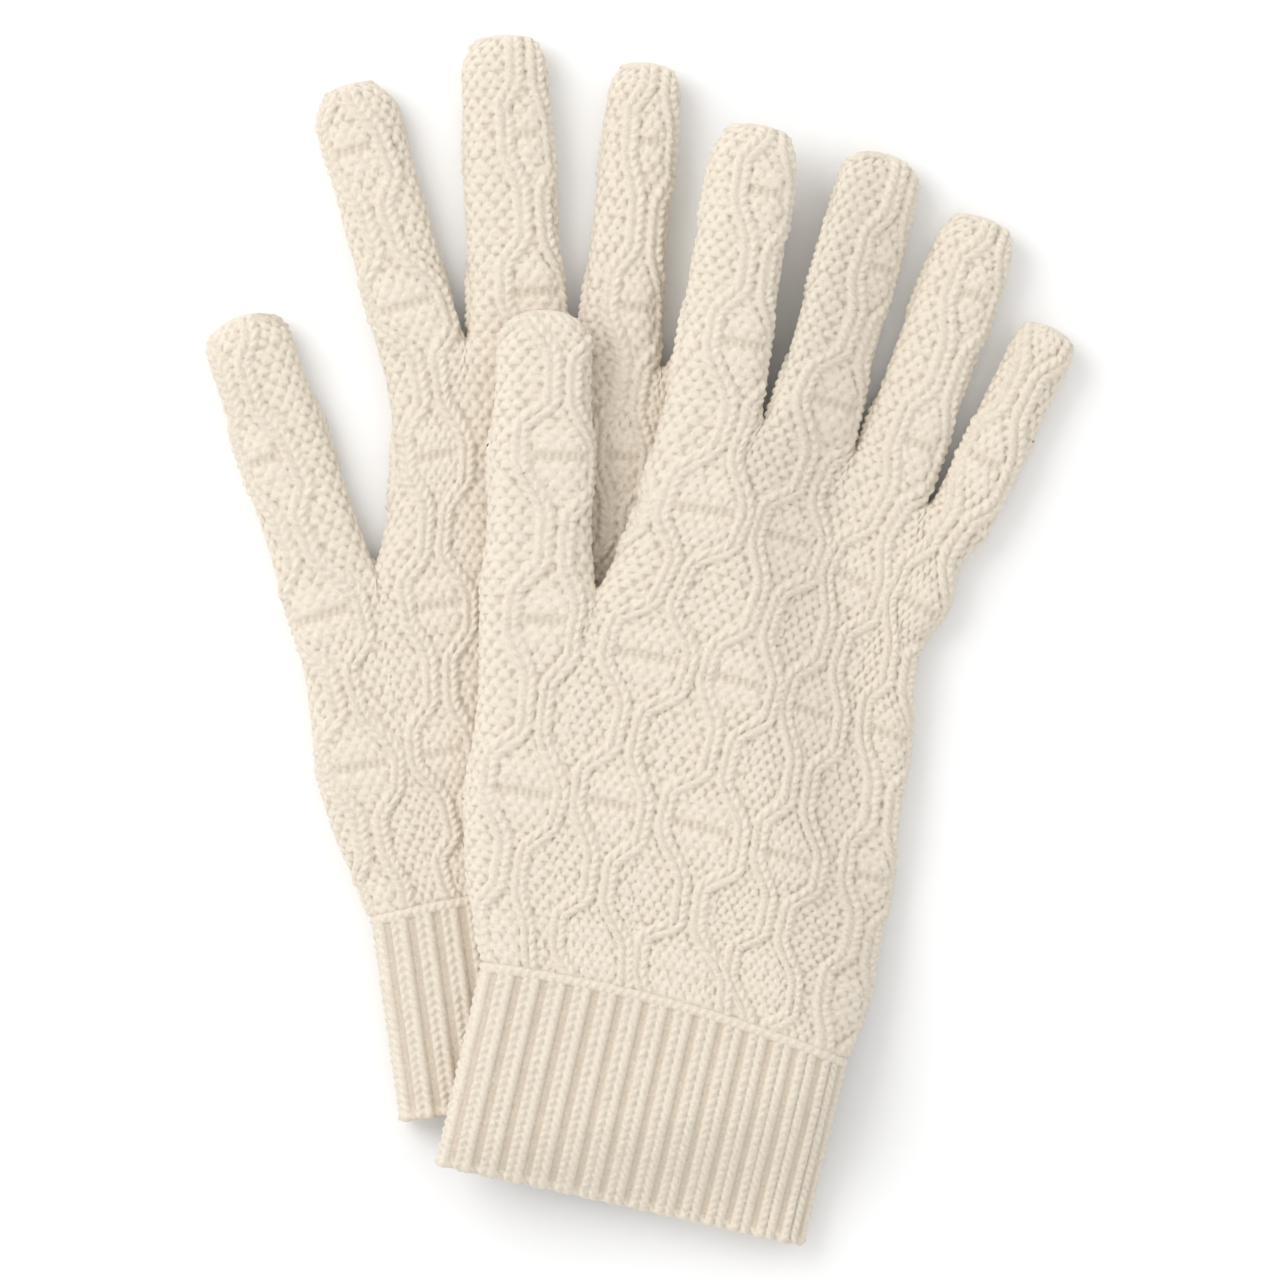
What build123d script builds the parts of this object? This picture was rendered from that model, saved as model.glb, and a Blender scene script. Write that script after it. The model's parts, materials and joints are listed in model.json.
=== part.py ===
# A pair of cable-knitted wool gloves lying flat, one partly on the other.
# Each glove is a hollow shell of knitted fabric: a ribbed cuff with its cast-on edge, a linking seam, a palm
# with the thumb gusset, the band below the finger roots, and five finger tubes. Each tube bends at its root and
# at its middle knuckle, and its tip is drawn shut by a gathered thread. The lower glove rests on the table, and
# the upper one drapes over it.
# Millimetres, +Z up, +Y towards the fingertips, origin under the middle of the pair on the table.
from build123d import *
import os
from math import cos, hypot, radians, sin, sqrt

# --- driving dimensions ---
wall = 2.4  # thickness of the knitted fabric
thickness = 11.0  # a flat glove over both fabrics, at the hand and fingers
cuff_thickness = 10.6  # the same at the ribbed cuff
cuff_width = 88.5  # the cuff lying flat
cuff_length = 45.0  # from the mouth to the hand
edge_length = 2.4  # the rolled cast-on edge at the mouth
seam_length = 2.0  # the linking seam between cuff and hand
proud = 0.4  # how far the linking seam and cast-on edge stand out of the fabric
body_gap = 0.4  # clearance between pieces that move apart
stack_gap = 0.6  # clearance between the two gloves where one lies on the other
drape_margin = 4.0  # the upper glove stays level this far past the lower one
drape_length = 30.0  # and comes down to the table over this length
table_gap = 0.15  # clearance of the upper glove above the table
sink = 0.5  # the lower glove's underside is flattened by this much where it rests
station_step = 9.0  # spacing of the sections along a tube, at most
closure_radius = 1.2  # the drawn-up last stitches at a fingertip
closure_proud = 0.8  # how far they stand out of the tip
stitch_radius = 0.9  # the darning stitches that close a finger crotch
stitch_offset = 4.0  # how far below the crotch they sit
tip_share = 0.93  # the rounded tip ends at this share of its radius, in the drawn-up stitches
tip_fullness = 0.5  # the thickness left at the very tip, as a share of the finger's
knuckle_share = 0.5  # the middle knuckle, as a share of a finger's length

# Each finger: root centre across and along the hand, lean from the hand's axis in degrees (+ to the right),
# length from root to tip, then widths at the root, at the middle and before the rounded tip.
upper_fingers = {
    "thumb": ((-51.0, 91.9), -11.3, 65.0, 28.0, 25.0, 22.0),
    "index": ((-20.4, 139.6), -3.6, 69.6, 23.6, 21.8, 20.4),
    "middle": ((3.0, 143.2), 2.4, 66.4, 21.8, 20.2, 19.4),
    "ring": ((23.8, 135.6), 7.0, 65.0, 20.2, 19.8, 18.8),
    "little": ((41.4, 127.2), 12.6, 52.5, 15.6, 15.6, 15.4),
}
lower_fingers = {
    "thumb": ((-43.2, 83.4), -10.6, 65.6, 23.4, 22.4, 20.6),
    "index": ((-13.9, 134.2), -7.6, 64.6, 20.8, 20.6, 19.8),
    "middle": ((8.8, 133.4), 5.2, 71.5, 23.6, 22.6, 20.6),
    "ring": ((31.2, 126.6), 14.2, 68.8, 19.6, 18.4, 17.6),
    "little": ((49.8, 116.6), 21.0, 48.5, 16.4, 15.4, 15.0),
}
# The palm with its thumb gusset, from just above the cuff, as lines across it from the thumb side to the other
# edge: (across, along) pairs. The last is the line of the thumb's root, carried on across the hand.
upper_palm = [
    ((-51.0, 17.0), (46.8, 19.0)), ((-55.5, 33.0), (45.9, 39.0)), ((-58.0, 55.0), (44.2, 63.0)),
    ((-61.0, 74.0), (41.3, 86.0)), ((-64.7, 89.2), (39.0, 109.9)),
]
lower_palm = [
    ((-48.9, 17.0), (45.2, 18.0)), ((-52.3, 34.0), (45.5, 38.0)), ((-52.0, 54.0), (45.4, 62.0)),
    ((-52.7, 70.0), (46.6, 84.0)), ((-54.7, 81.2), (50.5, 100.9)),
]
# The band from there past the finger roots, where its edges leave the thumb.
upper_band = [
    ((-36.4, 94.9), (39.0, 109.9)), ((-34.6, 106.0), (42.4, 116.0)), ((-33.0, 122.0), (47.2, 124.5)),
    ((-32.2, 139.0), (51.0, 136.0)), ((-32.2, 146.0), (54.0, 148.0)),
]
lower_band = [
    ((-30.9, 85.7), (50.5, 100.9)), ((-27.0, 99.0), (54.6, 106.5)), ((-23.8, 115.0), (58.2, 114.5)),
    ((-24.2, 133.0), (61.5, 124.0)), ((-24.9, 139.0), (65.0, 137.0)),
]

# Where each glove lies: the middle of the line where its cuff meets its palm, and how far it is turned
# (+ is anticlockwise), in degrees. Across and along are measured from there.
upper_place = ((5.4, -89.4), -13.0)
lower_place = ((-18.5, -63.3), 8.0)

section_shares = (0.22, 0.45, 0.65, 0.8, 0.91, 0.975)  # where a section's points lie, from middle to side
mid_height = thickness / 2
cut_reach = 130.0


# --- placing ---
def to_plan(place, point):
    """A point across and along a glove, in the plan of the pair."""
    (x, y), turn = place
    c, s = cos(radians(turn)), sin(radians(turn))
    return x + c * point[0] - s * point[1], y + s * point[0] + c * point[1]


def from_plan(place, point):
    (x, y), turn = place
    c, s = cos(radians(turn)), sin(radians(turn))
    return c * (point[0] - x) + s * (point[1] - y), c * (point[1] - y) - s * (point[0] - x)


def finger_axes(finger):
    """A finger's direction and the direction to its right, across and along the glove."""
    lean = radians(finger[1])
    return (sin(lean), cos(lean)), (cos(lean), -sin(lean))


def along_finger(finger, distance, aside=0.0):
    ahead, right = finger_axes(finger)
    return tuple(finger[0][i] + distance * ahead[i] + aside * right[i] for i in (0, 1))


def segment_distance(point, start, end):
    d = (end[0] - start[0], end[1] - start[1])
    share = ((point[0] - start[0]) * d[0] + (point[1] - start[1]) * d[1]) / (d[0] ** 2 + d[1] ** 2)
    share = min(1.0, max(0.0, share))
    return hypot(point[0] - start[0] - share * d[0], point[1] - start[1] - share * d[1])


def box_distance(point, low, high):
    """Distance from a point to a rectangle, 0 inside it."""
    return hypot(*(max(low[i] - point[i], point[i] - high[i], 0.0) for i in (0, 1)))


def lower_distance(x, y):
    """How far a point of the plan is outside the lower glove."""
    local = from_plan(lower_place, (x, y))
    palm = box_distance(local, (-cuff_width / 2, -cuff_length), (cuff_width / 2, lower_band[1][0][1]))
    root_level = lower_fingers["ring"][0][1] - lower_fingers["ring"][3] / 2
    band = box_distance(local, (lower_band[2][0][0], lower_palm[-2][1][1]), (lower_band[2][1][0], root_level))
    fingers = []
    for finger in lower_fingers.values():
        tip = along_finger(finger, finger[2] - finger[5] / 2)
        fingers.append(segment_distance(local, finger[0], tip) - finger[4] / 2)
    return max(0.0, min([palm, band, *fingers]))


def draped(x, y):
    """Height of the upper glove's underside: level on the lower glove, then falling to the table."""
    on_lower = thickness - sink + stack_gap
    share = 1.0 - min(1.0, max(0.0, lower_distance(x, y) - drape_margin) / drape_length)
    return table_gap + (on_lower - table_gap) * share * share * (3 - 2 * share)


def sunk(x, y):
    return -sink


# --- sections, tubes and cuts ---
def section(place, height, station):
    """The upper and lower halves of a flattened ring across a glove. Wide rings are squarer."""
    centre, right, half_width, half_thickness = station
    power = 2.2 + 0.2 * max(0.0, half_width - 9.0)
    quarter = [(share, sqrt(1 - share**power)) for share in reversed(section_shares)]
    arch = [(1.0, 0.0), *quarter, (0.0, 1.0), *[(-share, z) for share, z in reversed(quarter)], (-1.0, 0.0)]
    halves = []
    for side in (1, -1):
        points = []
        for share, z in arch:
            x, y = to_plan(place, tuple(centre[i] + share * half_width * right[i] for i in (0, 1)))
            points.append(Vector(x, y, height(x, y) + mid_height + side * z * half_thickness))
        halves.append(Edge.make_spline(points))
    return halves


def skin(rings):
    """The faces of a tube's side through rings, an upper and a lower one for each stretch."""
    faces = []
    for start, end in zip(rings[:-1], rings[1:]):
        faces += [Face.make_surface_from_curves(a, b) for a, b in zip(start, end)]
    return faces


def drawn_in(station, amount):
    centre, right, half_width, half_thickness = station
    return centre, right, half_width - amount, half_thickness - amount


def open_tube(place, height, stations, inner=None):
    """A hollow tube through stations, open at both ends."""
    outer_rings = [section(place, height, s) for s in stations]
    inner_rings = [section(place, height, drawn_in(s, wall)) for s in (inner or stations)]
    ends = [Face(Wire(outer_rings[i]), [Wire(inner_rings[i])]) for i in (0, -1)]
    return Solid(Shell(skin(outer_rings) + skin(inner_rings) + ends))


def closed_tube(place, height, stations, inner_stations):
    """A hollow tube through stations, open at its first and closed at its last."""
    outer_rings = [section(place, height, s) for s in stations]
    inner_rings = [section(place, height, drawn_in(s, wall)) for s in inner_stations]
    ends = [Face(Wire(outer_rings[0]), [Wire(inner_rings[0])])]
    ends += [Face(Wire(rings[-1])) for rings in (outer_rings, inner_rings)]
    return Solid(Shell(skin(outer_rings) + skin(inner_rings) + ends))


def between(rungs):
    """Stations along lines across a glove, eased through them and no further apart than the station step."""
    stations = []
    for i, (start, end) in enumerate(zip(rungs[:-1], rungs[1:])):
        before, after = rungs[max(0, i - 1)], rungs[min(len(rungs) - 1, i + 2)]
        longest = max(hypot(end[k][0] - start[k][0], end[k][1] - start[k][1]) for k in (0, 1))
        count = max(1, round(longest / station_step))
        for step in range(count + (i == len(rungs) - 2)):
            stations.append(station_on(eased(before, start, end, after, step / count)))
    return stations


def eased(before, start, end, after, t):
    """A smooth cubic from start to end, for both ends of a line across a glove."""
    line = []
    for k in (0, 1):
        point = []
        for i in (0, 1):
            leave, arrive = (end[k][i] - before[k][i]) / 2, (after[k][i] - start[k][i]) / 2
            value = (2 * t**3 - 3 * t**2 + 1) * start[k][i] + (t**3 - 2 * t**2 + t) * leave
            point.append(value + (3 * t**2 - 2 * t**3) * end[k][i] + (t**3 - t**2) * arrive)
        line.append(tuple(point))
    return line


def station_on(line):
    (x0, y0), (x1, y1) = line
    width = hypot(x1 - x0, y1 - y0)
    return ((x0 + x1) / 2, (y0 + y1) / 2), ((x1 - x0) / width, (y1 - y0) / width), width / 2, thickness / 2


def on_table(shape):
    """The part of a lower piece above the table, which gives it a flat underside."""
    box = shape.bounding_box()
    corner = Location((box.min.X - 5, box.min.Y - 5, 0))
    return shape & Solid.make_box(box.size.X + 10, box.size.Y + 10, 60).moved(corner)


def below_thumb(line, fingers):
    """A line across the hand, set back from the thumb's tube by half the clearance."""
    ahead = finger_axes(fingers["thumb"])[0]
    return tuple((x - body_gap / 2 * ahead[0], y - body_gap / 2 * ahead[1]) for x, y in line)


def past_roots(place, fingers):
    """Everything past the line of the four finger roots, as one tall block."""
    four = [finger for name, finger in fingers.items() if name != "thumb"]
    line = [along_finger(f, -body_gap / 2, side * f[3] / 2) for f in four for side in (-1, 1)]
    first = along_finger(four[0], -body_gap / 2, -cut_reach)
    last = along_finger(four[-1], -body_gap / 2, cut_reach)
    far = cut_reach + line[0][1]
    corners = [to_plan(place, p) for p in [first, *line, last, (last[0], far), (first[0], far)]]
    face = Face(Wire.make_polygon([Vector(x, y, -cut_reach) for x, y in corners], close=True))
    return Solid.extrude(face, Vector(0, 0, 2 * cut_reach))


# --- pieces of one glove ---
def cuff_stations(start, end, stands=0.0):
    """Stations of the cuff between two distances from its mouth."""
    count = max(1, round((end - start) / station_step))
    half_width, half_thickness = cuff_width / 2 + stands, cuff_thickness / 2 + stands
    spots = [start + (end - start) * i / count for i in range(count + 1)]
    return [((0.0, spot - cuff_length), (1.0, 0.0), half_width, half_thickness) for spot in spots]


def cuff_ring(place, height, start, end, stands=0.0):
    """A stretch of the cuff's tube."""
    inner = [drawn_in(s, stands) for s in cuff_stations(start, end, stands)]
    return open_tube(place, height, cuff_stations(start, end, stands), inner)


def finger_parts(place, height, finger):
    """A finger's tube below and above its middle knuckle, and the gathered thread that closes its tip."""
    _, _, length, root, middle, end = finger
    right = finger_axes(finger)[1]
    radius = end / 2
    knuckle = knuckle_share * length

    def station(t):
        share = t / (length - radius)
        if share < 0.3:
            width = middle + (root - middle) * (1 - share / 0.3) ** 2
        else:
            width = middle + (end - middle) * max(0.0, (share - 0.6) / 0.4)
        return along_finger(finger, t), right, width / 2, thickness / 2

    def rounded(share, offset):
        round_off = sqrt(1 - share * share)
        t = length - radius + (radius - offset) * share
        half_thickness = thickness / 2 * (tip_fullness + (1 - tip_fullness) * round_off)
        return along_finger(finger, t), right, offset + (radius - offset) * round_off, half_thickness

    def spread(start, stop):
        count = max(1, round((stop - start) / station_step))
        return [station(start + (stop - start) * i / count) for i in range(count + 1)]

    base = open_tube(place, height, spread(body_gap / 2, knuckle - body_gap / 2))
    straight = spread(knuckle + body_gap / 2, length - radius)
    shares = (0.35, 0.6, 0.8, tip_share)
    outer = straight + [rounded(share, 0.0) for share in shares]
    inner = straight + [rounded(share, wall) for share in shares]
    tip_end = length - radius * (1 - tip_share)
    inner_end = length - radius + (radius - wall) * tip_share
    tip = closed_tube(place, height, outer, inner)
    tip -= rod(place, height, finger, inner_end - 1.0, tip_end + 1.0)
    return base, tip, rod(place, height, finger, inner_end, tip_end + closure_proud)


def rod(place, height, finger, start, end):
    """The gathered thread along a finger's axis at its tip."""
    base, tip = (to_plan(place, along_finger(finger, t)) for t in (start, end))
    level = height(*to_plan(place, along_finger(finger, finger[2]))) + mid_height
    axis = Plane(origin=(*base, level), z_dir=(tip[0] - base[0], tip[1] - base[1], 0))
    return Solid.make_cylinder(closure_radius, end - start, axis)


def crotch_beads(place, height, fingers):
    """The darning stitches below each finger crotch, sunk halfway in the upper face."""
    four = [finger for name, finger in fingers.items() if name != "thumb"]
    beads = []
    for left, right in zip(four[:-1], four[1:]):
        a, b = along_finger(left, 0.0, left[3] / 2), along_finger(right, 0.0, -right[3] / 2)
        x, y = to_plan(place, ((a[0] + b[0]) / 2, min(a[1], b[1]) - stitch_offset))
        bead = Solid.make_sphere(stitch_radius, Plane.XY, -90, 90, 360)
        beads.append(bead.moved(Location((x, y, height(x, y) + thickness))))
    return beads


def fold_line(place, height, centre, right, half_width):
    """A fold across a tube: a point on it and its direction, just over the fabric's upper face."""
    ends = [tuple(centre[i] + side * half_width * right[i] for i in (0, 1)) for side in (-1, -0.5, 0, 0.5, 1)]
    spots = [to_plan(place, p) for p in ends]
    level = max(height(x, y) for x, y in spots) + thickness + body_gap
    (x0, y0), (x1, y1) = spots[0], spots[-1]
    return (*spots[2], level), ((x1 - x0) / (2 * half_width), (y1 - y0) / (2 * half_width), 0.0)


def glove(prefix, place, height, palm_lines, band_lines, fingers, cuff_gap):
    """Every piece of one glove by node name, and its fold lines by joint name."""
    pieces, folds = {}, {}
    pieces["cuff_edge"] = cuff_ring(place, height, 0.0, edge_length, proud)
    pieces["ribbed_cuff"] = cuff_ring(place, height, edge_length, cuff_length - seam_length)
    pieces["linking_seam"] = cuff_ring(place, height, cuff_length - seam_length, cuff_length, proud)
    start = ((-cuff_width / 2, cuff_gap), (cuff_width / 2, cuff_gap))
    lines = [start, *palm_lines[:-1], below_thumb(palm_lines[-1], fingers)]
    pieces["palm"] = open_tube(place, height, between(lines))
    band_stations = between([below_thumb(band_lines[0], fingers), *band_lines[1:]])
    band = open_tube(place, height, band_stations) - past_roots(place, fingers)
    beads = crotch_beads(place, height, fingers)
    for bead in beads:
        band -= bead
    pieces["finger_band"] = band
    pieces["crotch_stitches"] = Compound(beads)
    for name, finger in fingers.items():
        base, tip, closure = finger_parts(place, height, finger)
        pieces[f"{name}_base"], pieces[f"{name}_tip"], pieces[f"{name}_closure"] = base, tip, closure
        right = finger_axes(finger)[1]
        for joint, distance in (("root", 0.0), ("knuckle", knuckle_share * finger[2])):
            spot = along_finger(finger, distance)
            folds[f"{prefix}_{name}_{joint}"] = fold_line(place, height, spot, right, finger[3] / 2)
    cuff_fold = fold_line(place, height, (0.0, cuff_gap / 2), (-1.0, 0.0), cuff_width / 2)
    folds[f"{prefix}_cuff_fold"] = cuff_fold
    settle = on_table if height is sunk else (lambda shape: shape)
    return {f"{prefix}_{name}": settle(shape) for name, shape in pieces.items()}, folds


def pair():
    """Both gloves' pieces and fold lines, with the origin under the middle of the pair, and how far it moved."""
    pieces, folds = glove("lower", lower_place, sunk, lower_palm, lower_band, lower_fingers, 0.0)
    upper, upper_folds = glove("upper", upper_place, draped, upper_palm, upper_band, upper_fingers, body_gap)
    pieces.update(upper)
    folds.update(upper_folds)
    boxes = [shape.bounding_box(optimal=True) for shape in pieces.values()]
    shift_x = -(min(b.min.X for b in boxes) + max(b.max.X for b in boxes)) / 2
    shift_y = -(min(b.min.Y for b in boxes) + max(b.max.Y for b in boxes)) / 2
    shift = (shift_x, shift_y, 0.0)
    moved = {name: shape.moved(Location(shift)) for name, shape in pieces.items()}
    lines = {name: (tuple(p[i] + shift[i] for i in range(3)), axis) for name, (p, axis) in folds.items()}
    return moved, lines, shift


pieces, fold_lines, pair_shift = pair()
os.makedirs("parts", exist_ok=True)
for node, shape in pieces.items():
    export_step(Compound(shape.solids()), f"parts/{node}.step")
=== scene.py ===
import json

import bmesh
import bpy
import numpy as np
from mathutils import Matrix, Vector, kdtree
from mathutils.bvhtree import BVHTree


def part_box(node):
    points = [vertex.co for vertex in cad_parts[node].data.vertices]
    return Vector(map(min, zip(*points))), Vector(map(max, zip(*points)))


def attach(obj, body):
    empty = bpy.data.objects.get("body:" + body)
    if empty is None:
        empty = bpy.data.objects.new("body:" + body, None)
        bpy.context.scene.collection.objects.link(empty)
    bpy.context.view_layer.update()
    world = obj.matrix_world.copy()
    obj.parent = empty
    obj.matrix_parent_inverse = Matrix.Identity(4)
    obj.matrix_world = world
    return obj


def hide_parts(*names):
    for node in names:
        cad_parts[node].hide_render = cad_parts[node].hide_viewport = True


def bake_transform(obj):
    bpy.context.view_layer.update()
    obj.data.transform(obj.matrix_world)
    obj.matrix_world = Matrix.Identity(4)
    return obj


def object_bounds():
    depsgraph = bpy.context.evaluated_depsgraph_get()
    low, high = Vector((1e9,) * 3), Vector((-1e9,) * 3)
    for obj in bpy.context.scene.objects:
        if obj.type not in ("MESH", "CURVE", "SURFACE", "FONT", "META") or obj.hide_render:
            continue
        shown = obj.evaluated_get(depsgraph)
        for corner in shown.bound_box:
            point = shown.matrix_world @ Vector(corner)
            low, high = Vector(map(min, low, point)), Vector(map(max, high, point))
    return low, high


# A pair of cream cable-knit gloves. Each glove is measured on its frame pieces, then knitted as fine sheets:
# hand, fingers and cuff, with every stitch raised out of the surface. Sizes are millimetres until a mesh is written.

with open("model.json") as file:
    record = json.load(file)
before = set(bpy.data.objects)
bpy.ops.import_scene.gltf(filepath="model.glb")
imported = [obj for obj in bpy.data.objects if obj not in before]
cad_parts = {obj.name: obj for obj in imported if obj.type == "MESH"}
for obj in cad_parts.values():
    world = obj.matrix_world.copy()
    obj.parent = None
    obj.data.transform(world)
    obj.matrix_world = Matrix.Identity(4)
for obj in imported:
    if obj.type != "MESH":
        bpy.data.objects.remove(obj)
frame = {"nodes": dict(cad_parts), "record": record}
cadBox = [list(corner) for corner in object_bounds()]
fingerNames = ("thumb", "index", "middle", "ring", "little")
print("frame loaded")

# Measuring the frame


def cornersOf(node):
    mesh = frame["nodes"][node].data
    points = np.empty(len(mesh.vertices) * 3)
    mesh.vertices.foreach_get("co", points)
    return points.reshape(-1, 3) * 1000


def edgesOf(node):
    mesh = frame["nodes"][node].data
    ends = np.empty(len(mesh.edges) * 2, int)
    mesh.edges.foreach_get("vertices", ends)
    return ends.reshape(-1, 2)


def ease(x):
    x = np.clip(x, 0, 1)
    return x * x * (3 - 2 * x)


def gloveAxes(prefix):  # across and along directions, and the middle of the line where cuff meets palm
    seam = cornersOf(prefix + "_linking_seam")[:, :2]
    across = np.linalg.svd(seam - seam.mean(0), full_matrices=False)[2][0]
    across = across * np.sign(across[0])
    along = np.array([-across[1], across[0]])
    sides = seam @ across
    origin = across * (sides.min() + sides.max()) / 2 + along * (seam @ along).max()
    return {"across": across, "along": along, "origin": origin}


def toGlove(axes, points):
    shifted = points[:, :2] - axes["origin"]
    return np.stack([shifted @ axes["across"], shifted @ axes["along"]], 1)


def toPair(axes, points):
    return axes["origin"] + points[:, :1] * axes["across"] + points[:, 1:] * axes["along"]


def crossings(points, ends, levels):  # how far left and right a mesh reaches at some levels of its second coordinate
    a, b = points[ends[:, 0]], points[ends[:, 1]]
    found = []
    for level in levels:
        crossing = (a[:, 1] < level) != (b[:, 1] < level)
        p, q = a[crossing], b[crossing]
        across = p[:, 0] + (level - p[:, 1]) / (q[:, 1] - p[:, 1]) * (q[:, 0] - p[:, 0])
        found.append((across.min(), across.max()))
    return np.array(found)


joining = {
    "middle": 4.6,  # how much higher the cuff's joining line sits than the straight cut it is measured on
    "slope": 0.035,  # it rises towards the thumb
    "bend": 0.0016,
    "most": 6.0,
    "onHand": 24.0,  # the rise dies away over these lengths
    "onCuff": 15.0,
}


def settled(local):  # moves the joining line, and the cloth beside it, up the glove
    x, y = local.T
    raised = np.clip(joining["middle"] - joining["slope"] * x - joining["bend"] * x**2, 0, joining["most"])
    share = np.exp(-((y / np.where(y > 0, joining["onHand"], joining["onCuff"])) ** 2))
    return local + np.stack([0 * raised, raised * share], 1)


def sideOf(axes, node, levels, side):  # a node's outline at some distances above the cuff, left (-1) or right (1)
    reach = crossings(toGlove(axes, cornersOf(node)), edgesOf(node), levels)
    return reach[:, 1 if side > 0 else 0]


def smoothSide(axes, node, low, high, side, degree):
    levels = np.linspace(low, high, 40)
    return np.poly1d(np.polyfit(levels, sideOf(axes, node, levels, side), degree))


def readFinger(axes, prefix, name):  # direction, root, knuckle and tip along it, and the half widths on the way
    mesh = frame["nodes"][f"{prefix}_{name}_base"].data
    normals, areas = np.empty(len(mesh.polygons) * 3), np.empty(len(mesh.polygons))
    mesh.polygons.foreach_get("normal", normals)
    mesh.polygons.foreach_get("area", areas)
    normals = normals.reshape(-1, 3)
    flatEnds = np.abs(normals[:, 2]) < 0.001
    facing, weight = normals[flatEnds][:, :2], areas[flatEnds]
    facing = np.stack([facing @ axes["across"], facing @ axes["along"]], 1)
    ahead = np.linalg.eigh((facing * weight[:, None]).T @ facing)[1][:, 1]
    ahead = ahead * np.sign(ahead[1])
    right = np.array([ahead[1], -ahead[0]])
    base = toGlove(axes, cornersOf(f"{prefix}_{name}_base"))
    tip = toGlove(axes, cornersOf(f"{prefix}_{name}_tip"))
    start, knuckle = (base @ ahead).min(), ((base @ ahead).max() + (tip @ ahead).min()) / 2
    length = (tip @ ahead).max() - start + 0.6
    rootRow = base[(base @ ahead) < start + 0.3] @ right
    middle = (rootRow.min() + rootRow.max()) / 2

    def widthsOf(node, points, levels):
        turned = np.stack([points @ right, points @ ahead], 1)
        reach = crossings(turned, edgesOf(f"{prefix}_{name}_{node}"), levels)
        return (reach[:, 1] - reach[:, 0]) / 2

    low = np.linspace(start + 0.1, (base @ ahead).max() - 0.1, 8)
    high = np.linspace((tip @ ahead).min() + 0.1, start + 0.72 * length, 8)
    return {
        "ahead": ahead,
        "right": right,
        "root": ahead * start + right * middle,
        "knuckle": knuckle - start,
        "length": length,
        "stations": np.concatenate([low, high]) - start,
        "widths": np.concatenate([widthsOf("base", base, low), widthsOf("tip", tip, high)]),
    }


def fingerHalfWidth(finger, distance):
    end = finger["widths"][-1]
    q = np.clip((distance - finger["length"] + end) / end, 0, 1)
    return np.interp(distance, finger["stations"], finger["widths"]) * (1 - q ** 2.2) ** (1 / 2.2)


# How a glove lies

cloth = {
    "thickness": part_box("lower_palm")[1].z * 1000,  # over both fabrics, where the lower glove lies on the table
    "rounding": 8.5,  # how far in from its edge the cloth is still curving down
    "fullness": 2.3,  # 2 is a circle's edge, more is squarer
    "inset": 0.85,  # the plain ground lies this far inside the outer surface, and the stitches stand up from it
    "rise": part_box("lower_palm")[1].z * 1000 + 0.5,  # height of the upper glove's underside on the lower one
    "level": 4.0,  # it stays level this far past the lower glove
    "fall": 30.0,  # and reaches the table over this length
    "table": 0.15,  # it stops just above the table
}


def lowerShadow():  # the lower glove's frame pieces pressed flat, to measure distances from in plan
    points, faces = [], []
    for name, node in frame["nodes"].items():
        if name.startswith("lower_"):
            first = len(points)
            points += [(v.co.x * 1000, v.co.y * 1000, 0.0) for v in node.data.vertices]
            faces += [tuple(first + i for i in face.vertices) for face in node.data.polygons]
    return BVHTree.FromPolygons(points, faces)


def drapeHeights(step=2.5):  # the upper glove's underside on a coarse grid over the whole pair
    shadow = lowerShadow()
    (x0, y0, _), (x1, y1, _) = [[c * 1000 for c in corner] for corner in cadBox]
    xs, ys = np.arange(x0 - 20, x1 + 20, step), np.arange(y0 - 20, y1 + 20, step)
    away = np.array([[shadow.find_nearest((x, y, 0.0))[3] for x in xs] for y in ys])
    share = ease(1 - (away - cloth["level"]) / cloth["fall"])
    return xs, ys, cloth["table"] + (cloth["rise"] - cloth["table"]) * share


drape = drapeHeights()


def baseHeight(prefix, points):
    if prefix == "lower":
        return np.zeros(len(points))
    xs, ys, heights = drape
    i, j = (points[:, 0] - xs[0]) / (xs[1] - xs[0]), (points[:, 1] - ys[0]) / (ys[1] - ys[0])
    i, j = np.clip(i, 0, len(xs) - 1.001), np.clip(j, 0, len(ys) - 1.001)
    i0, j0 = i.astype(int), j.astype(int)
    fi, fj = i - i0, j - j0
    low = heights[j0, i0] * (1 - fi) + heights[j0, i0 + 1] * fi
    high = heights[j0 + 1, i0] * (1 - fi) + heights[j0 + 1, i0 + 1] * fi
    return low * (1 - fj) + high * fj


# Columns of knitting: one for each finger, running from the cuff to its tip

columns = {
    "midShares": (0.22, 0.43, 0.64, 0.82),  # where the lines between columns lie, half way up the hand
    "tube": 1.13,  # a finger's cloth across one face, over its width
    "blendIn": 14.0,  # a column takes its finger's roundness over this length below the crotch
}


def curveThrough(levels, values):
    return np.poly1d(np.polyfit(levels, values, len(levels) - 1))


heel = {
    "out": 4.4,  # the hand stands out this much below the little finger's root
    "below": 17.5,  # and most of all this far below it
    "ahead": 11.5,
    "behind": 6.5,
}


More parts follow.
